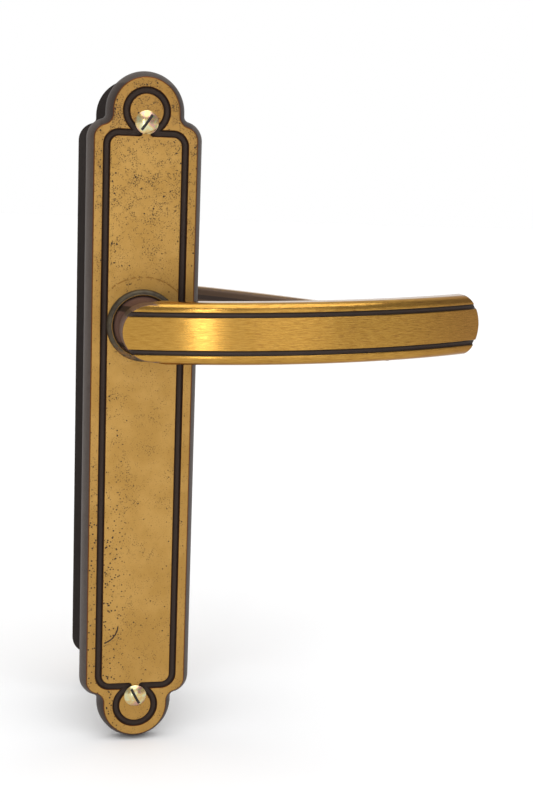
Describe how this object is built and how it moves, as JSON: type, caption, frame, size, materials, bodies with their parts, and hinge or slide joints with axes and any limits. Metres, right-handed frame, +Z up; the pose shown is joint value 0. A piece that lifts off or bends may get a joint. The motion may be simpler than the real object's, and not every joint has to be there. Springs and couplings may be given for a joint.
{
  "type": "door lever handle",
  "caption": "Pair of bowed brass lever handles on long shouldered backplates, joined through the door by a square spindle and through screws.",
  "frame": {"origin": "the spindle axis where it meets the front plate's mounting face", "axes": "+Z up along the plates, +X towards the lever tips, +Y through the door from the front plate to the rear plate"},
  "size_m": [0.1301, 0.1196, 0.228],
  "materials": {
    "plate_brass": "aged satin brass with dark patina in the grooves and on the sides",
    "collar_brass": "dark patinated brass",
    "lever_brass": "hand-worn brushed brass with dark grooves",
    "screw_zinc": "yellow zinc-plated steel",
    "spindle_steel": "plain drawn steel",
    "spring_steel": "dark spring steel",
    "washer_steel": "zinc-plated steel"
  },
  "bodies": {
    "plates": {"front_plate": "plate_brass", "rear_plate": "plate_brass", "front_collar": "collar_brass", "rear_collar": "collar_brass", "upper_screw": "screw_zinc", "lower_screw": "screw_zinc", "upper_sleeve_nut": "screw_zinc", "lower_sleeve_nut": "screw_zinc"},
    "front_handle": {"front_lever": "lever_brass", "front_washer": "washer_steel", "front_spring_washer": "spring_steel", "front_circlip": "spring_steel", "spindle": "spindle_steel"},
    "rear_handle": {"rear_lever": "lever_brass", "rear_washer": "washer_steel", "rear_spring_washer": "spring_steel", "rear_circlip": "spring_steel"}
  },
  "joints": [
    {"name": "front_lever_turn", "type": "hinge", "parent": "plates", "child": "front_handle", "pos_m": [0, 0, 0], "axis": [0, 1, 0], "range_deg": [0, 45]},
    {"name": "rear_lever_turn", "type": "hinge", "parent": "plates", "child": "rear_handle", "pos_m": [0, 0.04, 0], "axis": [0, 1, 0], "range_deg": [0, 45]}
  ],
  "couplings": [
    {"joint": "rear_lever_turn", "follows": "front_lever_turn", "ratio": 1}
  ]
}
